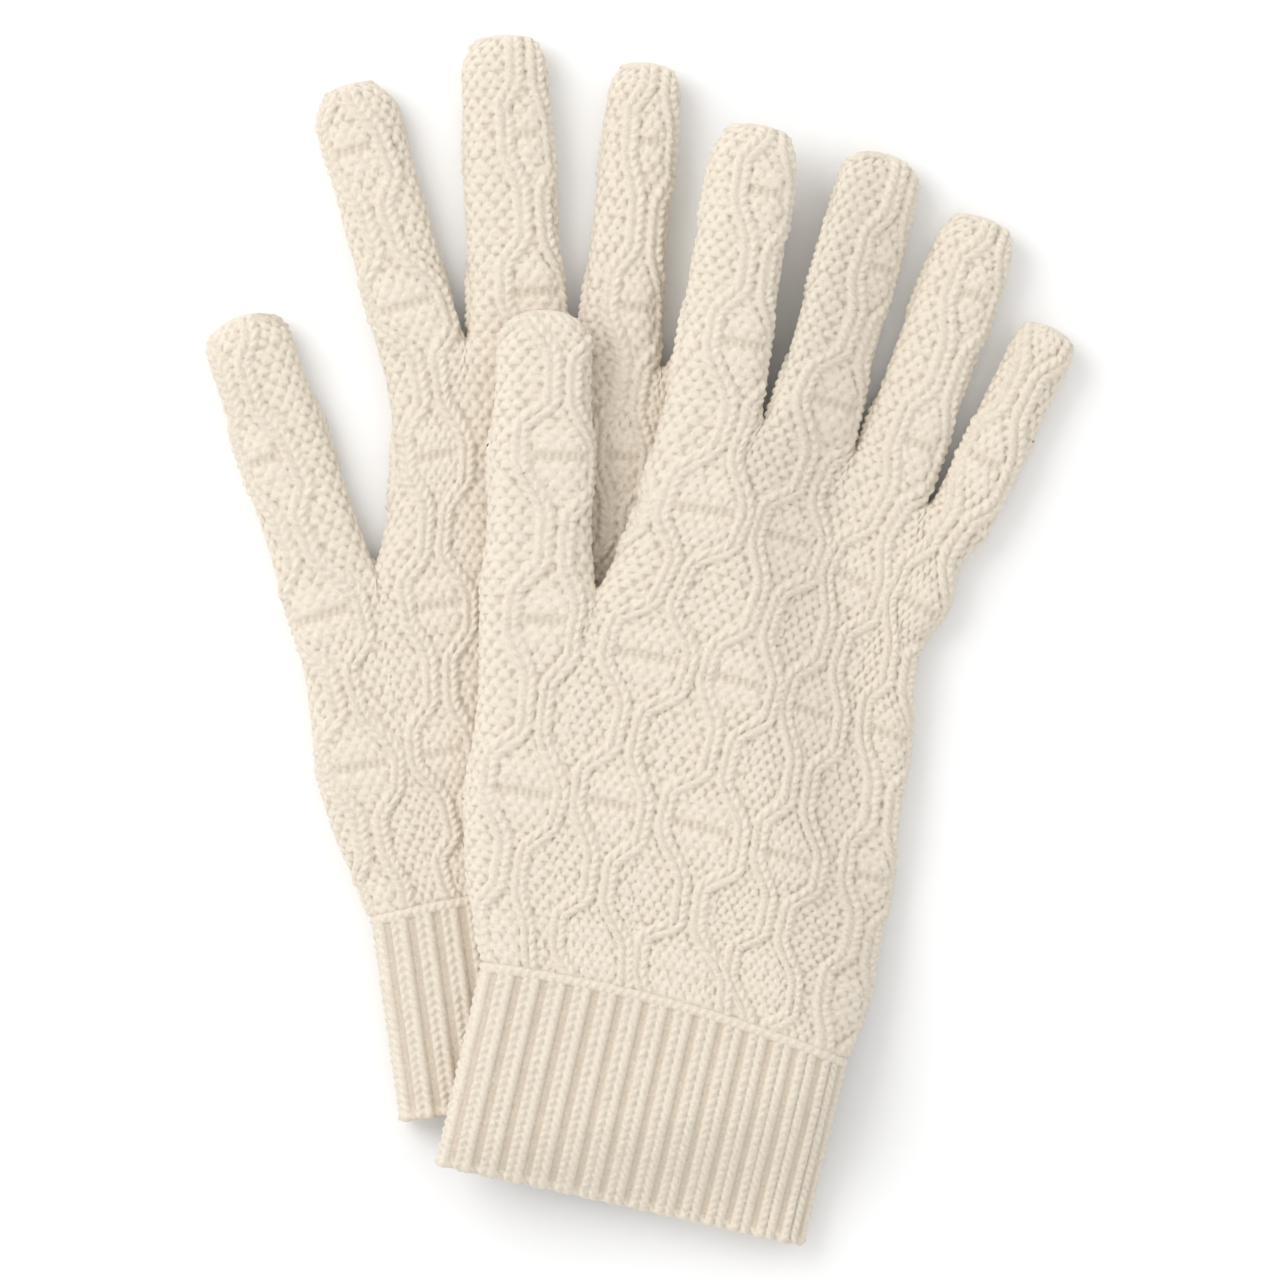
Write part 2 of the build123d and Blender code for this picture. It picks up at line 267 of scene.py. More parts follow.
def layOut(prefix):
    axes = gloveAxes(prefix)
    fingers = {name: readFinger(axes, prefix, name) for name in fingerNames}
    ends = {}
    for name, finger in fingers.items():
        half = finger["widths"][0] * finger["right"]
        ends[name] = (finger["root"] - half, finger["root"] + half)
    crotches = [ends["thumb"][1]]
    for left, right in zip(fingerNames[1:-1], fingerNames[2:]):
        crotches.append((ends[left][1] + ends[right][0]) / 2)
    top = np.mean([c[1] for c in crotches[1:]])
    thumbLeft, indexLeft, littleRight = ends["thumb"][0], ends["index"][0], ends["little"][1]
    leftSide = smoothSide(axes, prefix + "_palm", 1, thumbLeft[1] - 1, -1, 5)
    palmTop = sideTop(axes, prefix)
    levels = np.linspace(1, littleRight[1] - 1, 60)
    palmLevels, bandLevels = levels[levels < palmTop], levels[levels >= palmTop]
    rights = np.concatenate([
        sideOf(axes, prefix + "_palm", palmLevels, 1), sideOf(axes, prefix + "_finger_band", bandLevels, 1)
    ])
    plainSide = np.poly1d(np.polyfit(levels, rights, 6))
    indexSide = smoothSide(axes, prefix + "_finger_band", crotches[0][1] + 1, indexLeft[1] - 1.5, -1, 3)

    def risen(t, endT, endY):
        return t + (endY - endT) * (t / endT) ** 2

    dense = np.linspace(0, top, 2000)
    crotchT = float(np.interp(crotches[0][1], risen(dense, top, indexLeft[1]), dense))
    heelY = littleRight[1] - heel["below"]

    def rightSide(y):
        reach = np.where(y > heelY, heel["ahead"], heel["behind"])
        return plainSide(y) + heel["out"] * np.exp(-(((y - heelY) / reach) ** 2))

    half = rightSide(1.0)
    middleY = 0.5 * top

    def outerLeft(t):
        y = risen(t, crotchT, thumbLeft[1])
        return np.stack([leftSide(y) + (thumbLeft[0] - leftSide(thumbLeft[1])) * ease(t / crotchT), y], 1)

    def thumbLine(t):
        y = risen(t, top, indexLeft[1])
        endX, endY = crotches[0]
        below = curveThrough([0, 0.5 * endY, endY], [-0.6 * half, shareX(0, 0.5 * endY), endX])
        miss = endX - indexSide(endY)
        rest = indexLeft[0] - indexSide(indexLeft[1])
        past = t - crotchT
        above = indexSide(y) + miss * np.exp(-np.maximum(past, 0) / 6) + rest * ease(past / (top - crotchT))
        return np.stack([np.where(t <= crotchT, below(y), above), y], 1)

    def shareX(k, y):
        left, right = leftSide(min(y, thumbLeft[1])), rightSide(y)
        return left + columns["midShares"][k] * (right - left)

    def inner(k):
        crotch = crotches[k]
        curve = curveThrough([0, middleY, crotch[1]], [(-0.6 + 0.4 * k) * half, shareX(k, middleY), crotch[0]])

        def line(t):
            y = risen(t, top, crotch[1])
            return np.stack([curve(y), y], 1)

        return line

    def outerRight(t):
        y = risen(t, top, littleRight[1])
        return np.stack([rightSide(y) + (littleRight[0] - rightSide(littleRight[1])) * ease(t / top), y], 1)

    lines = [outerLeft, thumbLine, inner(1), inner(2), inner(3), outerRight]
    roots = {"thumb": (thumbLeft, crotches[0]), "index": (indexLeft, crotches[1])}
    roots.update({"middle": (crotches[1], crotches[2]), "ring": (crotches[2], crotches[3])})
    roots["little"] = (crotches[3], littleRight)
    laid = {"prefix": prefix, "axes": axes, "fingers": fingers, "lines": lines, "roots": roots}
    laid.update({"top": top, "crotchT": crotchT, "half": half})
    laid["outline"] = outlineOf(laid)
    return laid


def sideTop(axes, prefix):  # the level where the palm's right side ends and the band's begins
    points = toGlove(axes, cornersOf(prefix + "_palm"))
    return points[points[:, 0] > points[:, 0].max() * 0.7][:, 1].max() - 0.5


def rootT(laid, name):
    return laid["crotchT"] if name == "thumb" else laid["top"]


def fingerEdge(laid, name, distance, side):  # a finger's left (0) or right (1) edge, starting at its crotch
    finger = laid["fingers"][name]
    half = fingerHalfWidth(finger, distance)
    sign = 2 * side - 1
    root = finger["root"] + sign * finger["widths"][0] * finger["right"]
    miss = (laid["roots"][name][side] - root) * np.exp(-distance / 5)[:, None]
    return finger["root"] + distance[:, None] * finger["ahead"] + sign * half[:, None] * finger["right"] + miss


def fingerRows(finger, spacing):
    end = finger["widths"][-1]
    straight = finger["length"] - end
    knuckle = finger["knuckle"]
    below = np.linspace(0, knuckle, int(round(knuckle / spacing)) + 1)
    above = np.linspace(knuckle, straight, int(round((straight - knuckle) / spacing)) + 1)
    count = int(round(end / spacing * 1.7))
    rounded = straight + end * (1 - (1 - np.arange(1, count + 1) / count) ** 1.8)
    return below, np.concatenate([above, rounded])


def outlineOf(laid):  # the glove's whole edge as points, up the thumb's side and over each finger to the other side
    depth = 90.0
    lines, crotchT, top = laid["lines"], laid["crotchT"], laid["top"]
    rows = np.arange(0, crotchT, 0.5)
    parts = [np.array([[lines[0](np.zeros(1))[0, 0], -depth]]), lines[0](rows)]
    for name in fingerNames:
        distance = np.concatenate(fingerRows(laid["fingers"][name], 0.5))
        parts += [fingerEdge(laid, name, distance, 0), fingerEdge(laid, name, distance, 1)[::-1][1:]]
        if name == "thumb":
            parts.append(lines[1](np.arange(crotchT + 0.5, top, 0.5)))
    parts += [lines[5](np.arange(0, top, 0.5))[::-1], np.array([[lines[5](np.zeros(1))[0, 0], -depth]])]
    return denser(np.concatenate(parts))


def denser(points):  # fills the long straight ends, so that the nearest point is always close by
    out = [points[:1]]
    for a, b in zip(points[:-1], points[1:]):
        count = max(1, int(np.hypot(*(b - a)) / 1.0))
        out.append(a + (b - a) * (np.arange(1, count + 1) / count)[:, None])
    return np.concatenate(out)


def edgeDistance(laid, points):  # how far in from the glove's edge, and the direction straight in
    outline = laid["outline"]
    if "tree" not in laid:
        tree = kdtree.KDTree(len(outline))
        for i, p in enumerate(outline):
            tree.insert((p[0], p[1], 0.0), i)
        tree.balance()
        laid["tree"] = tree
    tree = laid["tree"]
    nearest = np.array([tree.find((p[0], p[1], 0.0))[1] for p in points])
    best, inward = np.full(len(points), 1e9), np.zeros((len(points), 2))
    for step in (-1, 0):
        a = outline[np.clip(nearest + step, 0, len(outline) - 2)]
        d = outline[np.clip(nearest + step, 0, len(outline) - 2) + 1] - a
        share = np.clip(((points - a) * d).sum(1) / np.maximum((d * d).sum(1), 1e-9), 0, 1)
        gap = points - a - share[:, None] * d
        distance = np.hypot(*gap.T)
        square = np.stack([d[:, 1], -d[:, 0]], 1) / np.maximum(np.hypot(*d.T), 1e-9)[:, None]
        away = np.where(distance[:, None] > 0.05, gap / np.maximum(distance, 1e-9)[:, None], square)
        closer = distance < best
        best, inward = np.where(closer, distance, best), np.where(closer[:, None], away, inward)
    return best, inward


def steepness(distance):  # how fast that rises
    inner, outer = np.maximum(distance, 0.002), np.maximum(distance, 0.002) + 0.01
    return (swell(outer) - swell(inner)) / 0.01


def swell(distance):  # how thick the glove is at a distance from its edge, from 0 to 1
    q = np.clip(distance / cloth["rounding"], 0, 1)
    return (1 - (1 - q) ** cloth["fullness"]) ** (1 / cloth["fullness"])


# Stitches

knit = {
    "courses": 18,  # rows of knitting in one repeat of the cable
    "repeat": 36.0,
    "neck": 2.35,  # half the distance between a column's two lines where they run together
    "gentle": (0.02, 0.36),  # a line leaves its oval slowly at one end, as shares of the repeat: where, over what
    "sharp": (0.17, 0.22),  # and quickly at the other
    "halves": (6.3, 8.8),  # half widths of an oval that the line tables are made for
    "leg": 1.0,  # each line is two legs of slanted stitches, this far either side of its middle
    "lineHeight": 1.25,
    "bumpHeight": 0.62,
    "bumps": 8,  # purl bumps across a column
}

# Each column's ovals: how far above the cuff, how far right of its middle, and half its width
ovals = {
    "upper": {
        "thumb": ((7.2, -2, 5.2), (44.8, 3.2, 8.8), (86, 2.8, 7.3), (124.3, 4.4, 8.8)),
        "index": (
            (8.8, -0.4, 8.2), (46, 1.9, 8), (80.8, 4, 9.8),
            (115.5, 6.5, 9.7), (155.5, 4.9, 7.4), (191.2, 4.1, 6.1),
        ),
        "middle": (
            (6.5, 3.3, 10.3), (45.5, 3.5, 9.3), (80, 4.4, 8.3),
            (114.2, 5.6, 8.1), (144.5, 3.8, 7.5), (177.2, 6.2, 5.3),
        ),
        "ring": (
            (12.5, 4.3, 8), (44, 5.6, 7.8), (78.8, 2.4, 7),
            (111.8, 1.3, 6.8), (147.2, 4, 6), (184.2, 3.8, 5.6),
        ),
        "little": ((13.5, 5, 5.6), (44.2, 5.4, 6.2), (80.2, 2.7, 6.5), (114, 0.4, 7.3), (155, -0.5, 6)),
    },
    "lower": {
        "thumb": ((2.5, -3.9, 4.5), (38.8, 1, 8.5), (76, -2.6, 9.2), (115, -4.9, 6.1)),
        "index": (
            (5, 0, 7.5), (38.8, -1.2, 7), (72.2, 2.8, 7.5),
            (105.2, 2.9, 7.1), (139.4, -0.7, 8.5), (177.6, -2.5, 6.4),
        ),
        "middle": (
            (5, 0, 7.5), (39, 1.5, 8), (72, 2.5, 7.8),
            (105, 4, 7.5), (139.4, 5.1, 7.5), (176.4, 4.5, 4.9),
        ),
        "ring": (
            (5, 1, 7.5), (39, 2, 7.8), (72, 3, 7.5),
            (105.2, 3.8, 6.1), (140.1, 3.9, 6.4), (178.9, 2.9, 4.9),
        ),
        "little": ((5, 2, 7), (39, 3, 7.5), (72, 2.5, 7), (107, 0.5, 6.5), (146, 0, 6)),
    },
}


def rowsOf(prefix, name):  # the ovals with one more at each end, numbered
    rows = np.array(ovals[prefix][name], float)
    first, last = rows[0].copy(), rows[-1].copy()
    first[0] -= rows[1, 0] - rows[0, 0]
    last[0] += 36
    return np.vstack([first, rows, last]), np.arange(-1, len(rows) + 1)


lineGrid = {"reach": 15.0, "step": 0.25, "shares": 145}  # how wide, how fine and how many rows the line tables are


def lineTable(half):  # distance from an oval's right line, and the place along it, for points of one repeat
    place = np.linspace(-0.8, 0.8, 641)
    away, gentle, sharp = np.abs(place), knit["gentle"], knit["sharp"]
    leaving = np.where(place > 0, ease((away - gentle[0]) / gentle[1]), ease((away - sharp[0]) / sharp[1]))
    x, y = knit["neck"] + (half - knit["neck"]) * (1 - leaving), place * knit["repeat"]
    us = np.arange(-lineGrid["reach"], lineGrid["reach"] + 0.01, lineGrid["step"])
    shares = np.linspace(-0.5, 0.5, lineGrid["shares"])
    distance, nearest = np.zeros((len(shares), len(us))), np.zeros((len(shares), len(us)))
    for i, share in enumerate(shares):
        gap = (us[:, None] - x) ** 2 + (share * knit["repeat"] - y) ** 2
        best = gap.argmin(1)
        sign = np.sign(us - np.interp(share, place, x))
        distance[i], nearest[i] = np.sqrt(gap.min(1)) * sign, place[best]
    return distance, nearest


lineTables = [lineTable(half) for half in knit["halves"]]


def lookUp(table, u, share):
    i = np.clip((u + lineGrid["reach"]) / lineGrid["step"], 0, table.shape[1] - 1.001)
    j = np.clip((share + 0.5) * (lineGrid["shares"] - 1), 0, lineGrid["shares"] - 1.001)
    i0, j0 = i.astype(int), j.astype(int)
    fi, fj = i - i0, j - j0
    low = table[j0, i0] * (1 - fi) + table[j0, i0 + 1] * fi
    return low * (1 - fj) + (table[j0 + 1, i0] * (1 - fi) + table[j0 + 1, i0 + 1] * fi) * fj


def scatter(number):  # a steady random value from 0 to 1 for each whole number
    value = np.sin(number * 12.9898 + 4.1) * 43758.5453
    return value - np.floor(value)


def wander(a, b, seed):  # a smooth uneven field from -1 to 1
    first = 0.5 * np.sin(a + seed + 1.9 * np.sin(0.61 * b + seed))
    return first + 0.5 * np.sin(1.37 * b - seed + 1.6 * np.sin(0.83 * a))


def slantedLegs(e, course, seed):  # two legs of slanted stitches either side of a sunken middle line, from 0 to 1; the colour paints shade into the sunken line
    across = (np.abs(e) - knit["leg"]) / knit["leg"]
    body = np.sqrt(np.maximum(1 - across**2, 0))
    slanted = course - 0.42 * np.abs(e)
    stitch = 0.5 + 0.5 * np.cos(2 * np.pi * slanted)
    size = 0.84 + 0.3 * scatter(np.round(slanted) + 37 * (e > 0) + seed)
    return body * (0.5 + 0.5 * stitch**0.8) * size


def purlBumps(q, course):  # rows of rounded bumps, each row half a bump along from the last
    best = np.zeros_like(q)
    lowest = np.floor(course)
    for row in (lowest, lowest + 1):
        side = q + 0.5 * (row % 2)
        cell = np.floor(side)
        kind = np.abs(cell % 80 - 40)  # the same on both faces where they meet
        dx = side - cell - 0.5 - 0.26 * (scatter(kind * 5 + row * 13) - 0.5) * np.sign(cell % 80 - 40)
        dy = course - row + 1.5 * dx**2 - 0.1 + 0.22 * (scatter(kind * 3 + row * 19) - 0.5)
        size = 0.75 + 0.5 * scatter(kind * 7 + row * 31)
        best = np.maximum(best, (1 - (dx / 0.56) ** 2 - (dy / 0.62) ** 2) * size)
    return np.sqrt(np.maximum(best, 0))


def cable(u, t, rows, numbers):  # one column: its lines' height, and how much of a vertex lies in a band or an oval
    number = np.interp(t, rows[:, 0], numbers)
    half = np.interp(number, numbers, rows[:, 2])
    u = u - np.interp(number, numbers, rows[:, 1])
    whole = np.round(number)
    share = number - whole
    between = (half - knit["halves"][0]) / (knit["halves"][1] - knit["halves"][0])
    lines, inner = np.full(len(u), -9.0), np.full(len(u), -99.0)
    for side in (1, -1):
        found = []
        for distance, nearest in lineTables:
            found.append((lookUp(distance, side * u, side * share), lookUp(nearest, side * u, side * share)))
        e = found[0][0] * (1 - between) + found[1][0] * between
        place = side * (found[0][1] * (1 - between) + found[1][1] * between)
        legs = slantedLegs(e, (whole + place) * knit["courses"], 11 * side)
        lines = np.maximum(lines, np.where(np.abs(e) < 2 * knit["leg"], legs * knit["lineHeight"] + 0.15, -9))
        inner = np.maximum(inner, e)
    inside = np.clip((-inner - 2.0) / 0.9, 0, 1)
    away = np.abs(share) * knit["repeat"]
    band = inside * np.clip(1.7 - away / 0.8, 0, 1) * (number > 0.5)
    puff = inside * np.exp(-(((away - 3.4) / 2.6) ** 2))
    foot = np.exp(-(((inner - 2.4) / 0.6) ** 2)) + np.exp(-(((inner + 2.3) / 0.5) ** 2))
    return lines, band, puff, foot


def knitted(parts, q, u, t, number):  # the height of the stitches where several columns' lines may pass
    lines = np.max([part[0] for part in parts], 0)
    band = np.max([part[1] for part in parts], 0)
    puff = np.max([part[2] for part in parts], 0)
    foot = np.max([part[3] for part in parts], 0)
    bumps = knit["bumpHeight"] * purlBumps(q, number * knit["courses"])
    # the dash band and the feet of the lines lie low, so the colour also paints them darker as shade
    dashes = 0.17 * np.cos(2 * np.pi * u / 1.7) + 0.07 * wander(u * 2.1, t * 0.8, 3) + 0.14
    ground = (bumps + 0.4 * puff - 0.15 * foot) * (1 - band) + dashes * band
    return np.maximum(ground, lines)


def ribRelief(u, t, pitch):
    q = u / pitch
    e = (q - np.floor(q) - 0.5) * pitch
    course = t / 1.9
    legs = knit["lineHeight"] * slantedLegs(e * 0.93, course, np.floor(q) * 5)
    # the grooves lie below the ground, so the colour also paints them darker as shade
    valley = 0.46 * purlBumps(q * 3, course + 0.5) - 0.5
    return np.maximum(legs, valley)


# Sheets

sheets = {"spacing": 0.42, "across": 56, "acrossUnder": 36}


def uniformArc():  # where points lie from a round edge (0) to the middle of a column (1), evenly along the cloth
    x = np.linspace(0, 1, 4000) ** 2
    z = (1 - (1 - np.clip(x / 0.82, 0, 1)) ** cloth["fullness"]) ** (1 / cloth["fullness"]) * 0.5
    run = np.concatenate([[0], np.cumsum(np.hypot(np.diff(x), np.diff(z)))])
    return run / run[-1], x


arcShare, arcPlace = uniformArc()


def spread(j, leftRound, rightRound):  # plan positions across a column, from evenly spaced to evenly along an arc
    half = np.interp(np.minimum(j, 1 - j) * 2, arcShare, arcPlace) / 2
    fromLeft, fromRight = half - j, (1 - half) - j
    return j + np.where(j < 0.5, leftRound * fromLeft, rightRound * fromRight)


def newGrid(countX, countY):  # a flat grid as a mesh
    bm = bmesh.new()
    bmesh.ops.create_grid(bm, x_segments=countX, y_segments=countY, size=0.5)
    return bm


def gridPlaces(bm, countX, countY):  # each vertex's column and row
    places = np.array([(v.co.x, v.co.y) for v in bm.verts])
    return np.rint((places[:, 0] + 0.5) * countX).astype(int), np.rint((places[:, 1] + 0.5) * countY).astype(int)


def writePiece(name, bm, points, normals, relief):  # raises the stitches along the smooth surface's normals
    raised = points + normals * (relief - cloth["inset"])[:, None]
    raised[:, 2] = np.maximum(raised[:, 2], 0.05)
    # each vertex keeps its stitch height, which the wool's colour turns into painted shade in the hollows
    shade = bm.verts.layers.float.new("stitchHeight")
    for v, p, height in zip(bm.verts, raised * 0.001, relief):
        v.co = p
        v[shade] = height
    bmesh.ops.remove_doubles(bm, verts=bm.verts, dist=0.00003)
    for face in bm.faces:
        face.smooth = True
    made = bpy.data.meshes.new(name)
    bm.to_mesh(made)
    bm.free()
    piece = bpy.data.objects.new(name, made)
    bpy.context.scene.collection.objects.link(piece)
    return piece


def surface(laid, local, side):  # a smooth sheet's points and normals; side is 1 on top and -1 underneath
    axes, prefix = laid["axes"], laid["prefix"]
    plan = toPair(axes, settled(local))
    distance, inward = edgeDistance(laid, local)
    thick = swell(distance) * cloth["thickness"] / 2
    level = baseHeight(prefix, plan)
    slopeX = baseHeight(prefix, plan + np.array([0.5, 0])) - baseHeight(prefix, plan - np.array([0.5, 0]))
    slopeY = baseHeight(prefix, plan + np.array([0, 0.5])) - baseHeight(prefix, plan - np.array([0, 0.5]))
    rise = steepness(distance) * cloth["thickness"] / 2
    inPair = inward[:, :1] * axes["across"] + inward[:, 1:] * axes["along"]
    upward = side * np.clip(distance / 0.4, 0, 1)  # level at the very edge, where the two faces meet
    flat = -upward[:, None] * np.column_stack([slopeX, slopeY]) - rise[:, None] * inPair
    normals = np.column_stack([flat, upward])
    normals /= np.linalg.norm(normals, axis=1)[:, None]
    return np.column_stack([plan, level + cloth["thickness"] / 2 + side * thick]), normals


def handSheet(laid, side):
    across = sheets["across"] if side > 0 else sheets["acrossUnder"]
    fork, top = laid["crotchT"], laid["top"]
    low = np.linspace(0, fork, int(round(fork / sheets["spacing"])) + 1)
    high = np.linspace(fork, top, int(round((top - fork) / sheets["spacing"])) + 1)[1:]
    rows = np.concatenate([low, high])
    bm = newGrid(5 * across, len(rows) - 1)
    column, row = gridPlaces(bm, 5 * across, len(rows) - 1)
    t = rows[row]
    local, relief = np.zeros((len(t), 2)), np.zeros(len(t))
    sheetRows = {name: rowsOf(laid["prefix"], name) for name in fingerNames}
    widths = columnWidths(laid, rows)
    for k, name in enumerate(fingerNames):
        mine = (column >= k * across) & (column <= (k + 1) * across)
        if name == "thumb":
            mine &= (column < across) | (t <= fork + 1e-6)
        r, j = row[mine], (column[mine] - k * across) / across
        tk = np.minimum(rows[r], rootT(laid, name))
        arc, leftRound, rightRound = (values[r] for values in widths[name])
        s = spread(j, leftRound, rightRound)[:, None]
        left, right = laid["lines"][k](tk), laid["lines"][k + 1](tk)
        local[mine] = left * (1 - s) + right * s
        a = (j - 0.5) * arc
        parts = columnParts(a * side, arc, np.where(j < 0.5, leftRound, rightRound), tk, *sheetRows[name])
        for beside in (-1, 1):
            if 0 <= k + beside < 5:
                other = fingerNames[k + beside]
                joined = 1 - (rightRound if beside > 0 else leftRound)
                apart = beside * (arc + widths[other][0][r]) / 2
                lines, *rest = cable(side * (a - apart), tk, *sheetRows[other])
                parts.append((lines - 4 * (1 - ease(joined * 1.6)), *(value * joined for value in rest)))
        number = np.interp(tk, sheetRows[name][0][:, 0], sheetRows[name][1])
        q = (k + j) * knit["bumps"]
        relief[mine] = knitted(parts, q if side > 0 else 80 - q, a * side, tk, number)
    relief = relief * seamRoom(t)
    keep = ~((column < across) & (t > fork + 1e-6))
    points, normals = surface(laid, local[keep], side)
    bmesh.ops.delete(bm, geom=[v for v, kept in zip(bm.verts, keep) if not kept], context="VERTS")
    if side < 0:
        bmesh.ops.reverse_faces(bm, faces=bm.faces)
    return writePiece(f"{laid['prefix']}Hand{'Top' if side > 0 else 'Under'}", bm, points, normals, relief[keep])


def columnParts(v, arc, roundness, t, rows, numbers):  # a column's lines, and the other face's round the edge
    own = cable(v, t, rows, numbers)
    lines, *rest = cable(v - np.sign(v) * arc, t, rows, numbers)
    return [own, (lines - 4 * (1 - ease(roundness * 1.6)), *(value * roundness for value in rest))]


def columnWidths(laid, rows):  # each column's length of cloth across at each row, and how round its two sides are
    found = {}
    for k, name in enumerate(fingerNames):
        end = rootT(laid, name)
        t = np.minimum(rows, end)
        toRoot = ease((t - end + columns["blendIn"]) / columns["blendIn"])
        toThumb = ease((t - laid["crotchT"] + columns["blendIn"]) / columns["blendIn"])
        leftRound = {"thumb": np.ones_like(t), "index": toThumb}.get(name, toRoot)
        rightRound = {"thumb": toThumb, "little": np.ones_like(t)}.get(name, toRoot)
        width = np.hypot(*(laid["lines"][k + 1](t) - laid["lines"][k](t)).T)
        found[name] = width * (1 + (columns["tube"] - 1) * (leftRound + rightRound) / 2), leftRound, rightRound
    return found


def seamRoom(t):  # the stitches die away under the linking seam
    return ease((t - 0.3) / 1.4)


def fingerPiece(laid, name, distances, label):
    finger = laid["fingers"][name]
    across = sheets["across"]
    bm = newGrid(2 * across, len(distances) - 1)
    column, row = gridPlaces(bm, 2 * across, len(distances) - 1)
    distance = distances[row]
    onTop = column <= across
    j = np.where(onTop, column, 2 * across - column) / across
    s = spread(j, 1, 1)[:, None]
    left, right = fingerEdge(laid, name, distance, 0), fingerEdge(laid, name, distance, 1)
    local = left * (1 - s) + right * s
    width = np.hypot(*(right - left).T)
    side = np.where(onTop, 1, -1)
    points, normals = surface(laid, local, side)
    t = rootT(laid, name) + distance
    arc = np.maximum(width * columns["tube"], 0.5)
    tubeRows = rowsOf(laid["prefix"], name)
    number = np.interp(t, tubeRows[0][:, 0], tubeRows[1])
    v = side * (j - 0.5) * arc
    q = (fingerNames.index(name) + j) * knit["bumps"]
    parts = columnParts(v, arc, np.ones(len(v)), t, *tubeRows)
    relief = knitted(parts, np.where(onTop, q, 80 - q), v, t, number)
    tipFade = ease((finger["length"] - distance) / 2)
    relief = relief * tipFade + 0.5 * (1 - tipFade)
    return writePiece(f"{laid['prefix']}{name.title()}{label}", bm, points, normals, relief)


cuff = {"depth": 36.0, "wall": 2.4, "ribs": 31, "roll": 1.3, "around": 232, "overlap": 1.1}


def cuffPiece(laid):  # the cuff's outside, its rolled edge, and its inside up to where it is pressed shut
    prefix, half = laid["prefix"], laid["half"]
    length = -toGlove(laid["axes"], cornersOf(prefix + "_cuff_edge"))[:, 1].min()
    straight = length - cuff["roll"]
    outside = np.linspace(-cuff["overlap"], straight, int(round(length / sheets["spacing"])) + 1)
    turn = np.linspace(0, np.pi, 12)[1:-1]
    inside = np.linspace(straight, length - cuff["depth"], 36)
    down = np.concatenate([outside, straight + cuff["roll"] * np.sin(turn), inside])
    deep = np.concatenate([outside * 0, cuff["wall"] * (1 - np.cos(turn)) / 2, inside * 0 + cuff["wall"]])
    closing = np.concatenate([outside * 0, turn * 0, np.linspace(0, 1, len(inside)) ** 2])
    around = cuff["around"]
    bm = newGrid(2 * around, len(down) - 1)
    column, row = gridPlaces(bm, 2 * around, len(down) - 1)
    onTop = column <= around
    side = np.where(onTop, 1, -1)
    across = edgeSpread(np.where(onTop, column, 2 * around - column) / around, half)
    below, inward = down[row], deep[row]
    plan = toPair(laid["axes"], settled(np.column_stack([across * (half - inward) / half, -below])))
    room = np.maximum(cloth["thickness"] / 2 - inward, 0.3) * (1 - 0.92 * closing[row])
    thick = swell(half - np.abs(across)) * room
    level = baseHeight(prefix, plan) + cloth["thickness"] / 2
    points = np.column_stack([plan, level + side * thick])
    rise = steepness(half - np.abs(across)) * cloth["thickness"] / 2 * np.sign(across)
    outward = rise[:, None] * laid["axes"]["across"]
    turned = np.clip(inward / cuff["wall"], 0, 1) * np.pi
    upright = np.column_stack([outward, side]) / np.hypot(rise, 1)[:, None]
    edgeWay = np.append(-laid["axes"]["along"], 0)
    normals = upright * np.cos(turned)[:, None] + edgeWay * np.sin(turned)[:, None]
    perimeter = 2 * arcTable(half)[0][-1]
    run = np.where(onTop, arcAt(across, half), perimeter - arcAt(across, half))
    relief = ribRelief(run, below + 1.0, perimeter / cuff["ribs"])
    outer = np.clip(1 - 2 * inward / cuff["wall"], 0, 1)
    relief = np.maximum(relief * seamRoom(below), seamStitches(run, below)) * outer + 0.4 * (1 - outer)
    relief = relief + edgeStitches(run, length - below) * outer
    bmesh.ops.reverse_faces(bm, faces=bm.faces)
    return writePiece(f"{prefix}Cuff", bm, points, normals, relief)


def arcTable(half):
    x = half * (1 - np.linspace(1, 0, 3000) ** 2)
    x = np.concatenate([-x[::-1], x[1:]])
    z = swell(half - np.abs(x)) * cloth["thickness"] / 2
    run = np.concatenate([[0], np.cumsum(np.hypot(np.diff(x), np.diff(z)))])
    return run, x


def arcAt(across, half):
    run, x = arcTable(half)
    return np.interp(across, x, run)


def edgeSpread(j, half):  # evenly along the cloth from edge to edge
    run, x = arcTable(half)
    return np.interp(j * run[-1], run, x)


def seamStitches(run, down):  # the chain that links the cuff to the hand
    body = np.sqrt(np.maximum(1 - ((down - 0.2) / 1.2) ** 2, 0))
    return body * (0.95 + 0.22 * np.cos(2 * np.pi * (run / 2.0 + 0.3 * down)))


def edgeStitches(run, up):  # the cast-on edge stands out a little, in slanted stitches
    body = np.sqrt(np.maximum(1 - ((up - 1.0) / 1.7) ** 2, 0))
    return body * (0.30 + 0.16 * np.cos(2 * np.pi * (run / 2.05 + 0.35 * up)))


# Wool

wool = {
    # high is the wool's own cream on the raised stitches; low is painted shade, the same wool darkened in the
    # hollows between them
    "high": (0.88, 0.79, 0.66, 1),
    "low": (0.5, 0.405, 0.3, 1),
    "paintedShadeDepths": (-0.3, 0.75),  # the relief over which the colour runs from low to high: painted shade, darkest in the hollows between stitches
    "mottle": 1.1,  # how much the hairs vary that
    "mottleOffset": -0.27,
    "hairs": 1500,  # scale of the hairs
    "hairBump": 0.85,
    "hairDepth": 0.00045,
    "roughness": 0.92,
}


def socketMath(tree, operation, a, b):
    node = tree.nodes.new("ShaderNodeMath")
    node.operation = operation
    for socket, value in zip(node.inputs, (a, b)):
        if hasattr(value, "is_linked"):
            tree.links.new(value, socket)
        else:
            socket.default_value = value
    return node.outputs[0]


